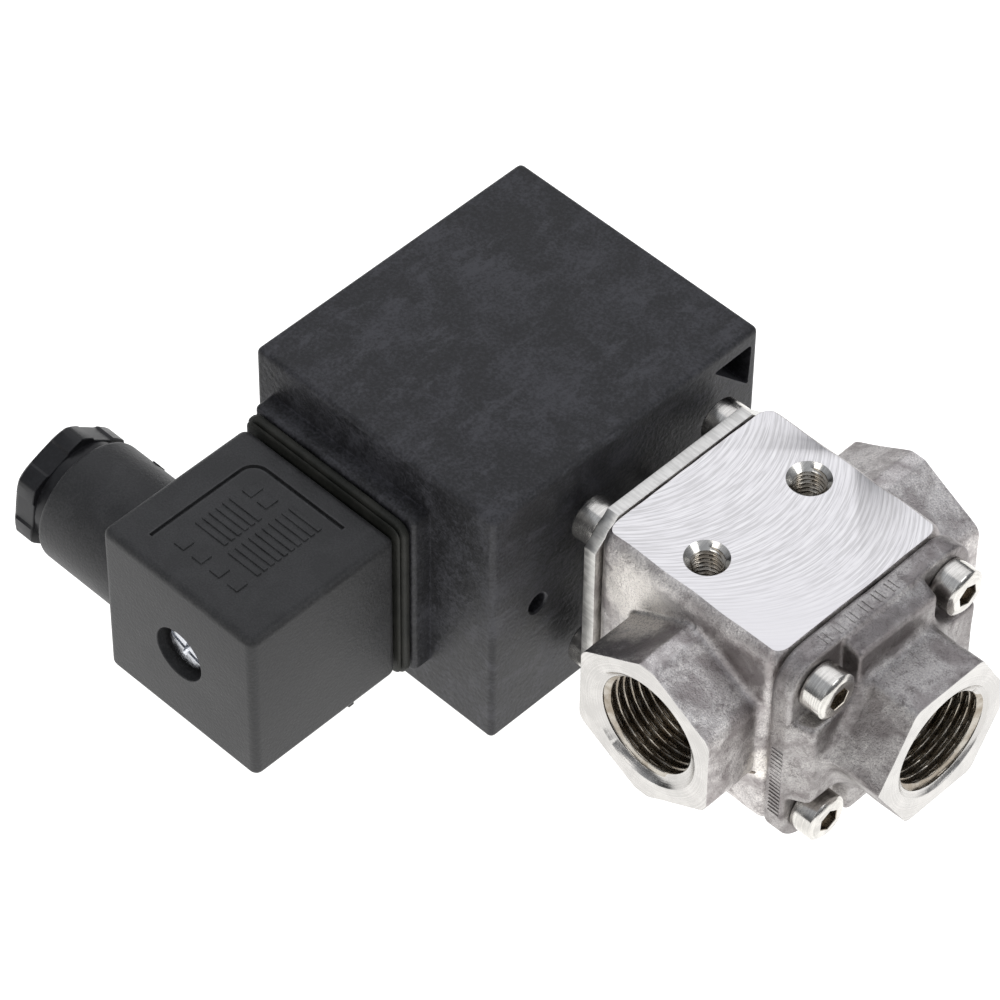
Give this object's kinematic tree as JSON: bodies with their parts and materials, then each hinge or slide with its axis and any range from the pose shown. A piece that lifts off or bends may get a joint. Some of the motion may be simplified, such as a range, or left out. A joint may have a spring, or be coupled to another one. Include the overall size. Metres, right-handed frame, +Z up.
{
  "type": "solenoid valve",
  "caption": "Direct-acting solenoid seat valve: moulded coil with plug-in cable connector, cast aluminium body with side ports and a bolted end cover with a port.",
  "frame": {"origin": "middle of the bounding box's underside, at the height of the coil's flat underside", "axes": "+X along the valve axis from the coil to the end cover, +Z up out of the milled mounting face, connector on the -Y side"},
  "size_m": [0.1166, 0.087, 0.044],
  "materials": {
    "coil_black": "black moulding compound, fine leathery grain with light scuffs",
    "connector_black": "black glass-filled nylon, fine spark-eroded matte",
    "gland_black": "black nylon, satin",
    "black_rubber": "black nitrile rubber, matte",
    "bobbin_plastic": "natural glass-filled nylon",
    "cast_aluminium": "die-cast skin with mottled stains, milled top and port faces",
    "machined_steel": "machined light grey edge",
    "magnet_steel": "turned ferritic steel",
    "stainless": "bright stainless steel",
    "zinc_steel": "bright zinc plating",
    "brass": "turned or stamped brass",
    "copper": "enamelled copper"
  },
  "bodies": {
    "valve": {"coil_housing": "coil_black", "coil_bobbin": "bobbin_plastic", "coil_winding": "copper", "flux_plate_front": "magnet_steel", "flux_plate_rear": "magnet_steel", "flux_sleeve": "magnet_steel", "coil_nut": "zinc_steel", "coil_washer": "black_rubber", "terminal_blade_1": "brass", "terminal_blade_2": "brass", "earth_blade": "brass", "connector_housing": "connector_black", "terminal_block": "bobbin_plastic", "connector_gasket": "black_rubber", "connector_screw": "zinc_steel", "gland_nut": "gland_black", "gland_seal": "black_rubber", "gland_washer": "gland_black", "armature_tube": "stainless", "fixed_core": "magnet_steel", "shading_ring": "copper", "return_spring": "stainless", "tube_oring": "black_rubber", "tube_flange_plate": "machined_steel", "valve_body": "cast_aluminium", "end_cover": "cast_aluminium", "cover_oring": "black_rubber", "terminal_contact_1": "brass", "terminal_screw_1": "zinc_steel", "terminal_contact_2": "brass", "terminal_screw_2": "zinc_steel", "terminal_contact_3": "brass", "terminal_screw_3": "zinc_steel", "flange_screw_1": "stainless", "cover_screw_1": "stainless", "flange_screw_2": "stainless", "cover_screw_2": "stainless", "flange_screw_3": "stainless", "cover_screw_3": "stainless", "flange_screw_4": "stainless", "cover_screw_4": "stainless"},
    "plunger": {"plunger": "magnet_steel", "poppet_stem": "stainless", "poppet": "brass", "rear_seal_disc": "black_rubber", "front_seal_disc": "black_rubber"}
  },
  "joints": [
    {"name": "plunger_stroke", "type": "slide", "parent": "valve", "child": "plunger", "axis": [-1, 0, 0], "range_m": [0, 0.0018], "stiffness_N_per_m": 800, "springref_m": -0.006, "deforming": ["return_spring"]}
  ]
}
